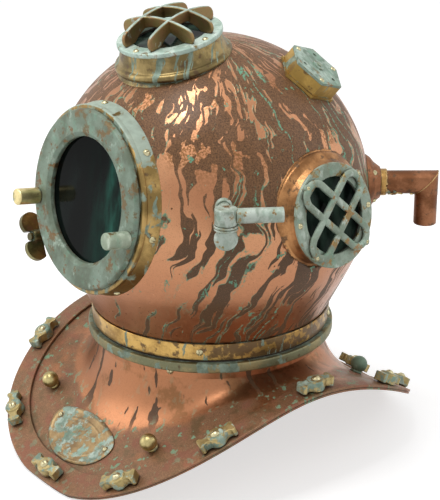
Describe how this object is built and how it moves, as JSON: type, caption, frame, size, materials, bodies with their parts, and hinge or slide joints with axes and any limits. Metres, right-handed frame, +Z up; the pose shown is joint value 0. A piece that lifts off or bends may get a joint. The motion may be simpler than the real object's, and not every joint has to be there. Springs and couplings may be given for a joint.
{
  "type": "diving helmet",
  "caption": "Surface-supplied diving helmet: round copper bonnet with guarded glass ports, screw-in faceplate, spitcock and elbows on a saddle-shaped breastplate.",
  "frame": {"origin": "centre of the footprint, on the surface that the breastplate's two flaps stand on, under the middle of the neck", "axes": "+Z up along the neck's axis, -Y the way the faceplate looks, +X the wearer's left"},
  "size_m": [0.3664, 0.4222, 0.4504],
  "materials": {
    "spun_copper": "polished, with dark and green tarnish",
    "dull_copper": "dull, speckled",
    "worn_brass": "satin, worn",
    "green_brass": "matt, green patina",
    "pale_metal": "satin, pale",
    "dark_glass": "clear, dark behind",
    "gasket_leather": "matt"
  },
  "bodies": {
    "corselet": {"breastplate": "dull_copper", "brail_strap": "dull_copper", "corselet_ring": "green_brass", "corselet_screws": "pale_metal", "neck_gasket": "gasket_leather", "rim_nuts": "green_brass", "rim_nut_screws": "pale_metal", "strap_studs": "worn_brass", "badge_plate": "green_brass", "badge_screws": "pale_metal"},
    "bonnet": {"dome": "spun_copper", "neck_band": "worn_brass", "band_screws": "pale_metal", "face_seat": "worn_brass", "face_seat_screws": "pale_metal", "face_gasket": "gasket_leather", "lock_stud": "worn_brass", "top_port_seat": "worn_brass", "top_port_ring": "green_brass", "top_port_glass": "dark_glass", "top_port_gasket": "gasket_leather", "top_port_screws": "pale_metal", "exhaust_body": "worn_brass", "exhaust_cover": "green_brass", "exhaust_cover_screws": "pale_metal", "exhaust_spring": "pale_metal", "spitcock_body": "green_brass", "left_port_seat": "worn_brass", "left_port_ring": "green_brass", "left_port_guard": "green_brass", "left_port_glass": "dark_glass", "left_port_gasket": "gasket_leather", "left_port_screws": "pale_metal", "right_port_seat": "worn_brass", "right_port_ring": "green_brass", "right_port_guard": "green_brass", "right_port_glass": "dark_glass", "right_port_gasket": "gasket_leather", "right_port_screws": "pale_metal", "air_elbow": "dull_copper", "air_elbow_base": "dull_copper", "air_elbow_collar": "worn_brass", "air_elbow_screws": "pale_metal", "phone_elbow": "dull_copper", "phone_elbow_base": "dull_copper", "phone_elbow_collar": "worn_brass", "phone_elbow_screws": "pale_metal"},
    "faceplate_pane": {"face_glass": "dark_glass"},
    "faceplate_ring": {"face_ring": "green_brass", "face_posts": "worn_brass"},
    "lock_washer_body": {"lock_washer": "worn_brass"},
    "wing_nut_body": {"wing_nut": "dull_copper"},
    "exhaust_disc_body": {"exhaust_disc": "worn_brass"},
    "spitcock_plug_body": {"spitcock_plug": "green_brass"}
  },
  "joints": [
    {"name": "bonnet_turn", "type": "hinge", "parent": "corselet", "child": "bonnet", "pos_m": [0, 0, 0.128], "axis": [0, 0, 1], "range_deg": [0, 45]},
    {"name": "faceplate_out", "type": "slide", "parent": "bonnet", "child": "faceplate_pane", "axis": [0, -0.9893, 0.1461], "range_m": [0, 0.009]},
    {"name": "faceplate_turn", "type": "hinge", "parent": "faceplate_pane", "child": "faceplate_ring", "pos_m": [0, 0, 0.259], "axis": [0, -0.9893, 0.1461], "range_deg": [0, 1080]},
    {"name": "lock_out", "type": "slide", "parent": "bonnet", "child": "lock_washer_body", "axis": [0, -0.9893, 0.1461], "range_m": [0, 0.00375]},
    {"name": "lock_turn", "type": "hinge", "parent": "lock_washer_body", "child": "wing_nut_body", "pos_m": [-0.10001, -0.13824, 0.21275], "axis": [0, -0.9893, 0.1461], "range_deg": [0, 1080]},
    {"name": "exhaust_lift", "type": "slide", "parent": "bonnet", "child": "exhaust_disc_body", "axis": [0.5077, 0.3555, 0.7848], "range_m": [0, 0.0035], "stiffness_N_per_m": 150, "springref_m": -0.006, "deforming": ["exhaust_spring"]},
    {"name": "spitcock_turn", "type": "hinge", "parent": "bonnet", "child": "spitcock_plug_body", "pos_m": [0.14776, -0.09377, 0.295], "axis": [0, 0, 1], "range_deg": [0, 90]}
  ],
  "couplings": [
    {"joint": "faceplate_out", "follows": "faceplate_turn", "m_per_rad": 0.00047746},
    {"joint": "lock_out", "follows": "lock_turn", "m_per_rad": 0.00019894}
  ]
}
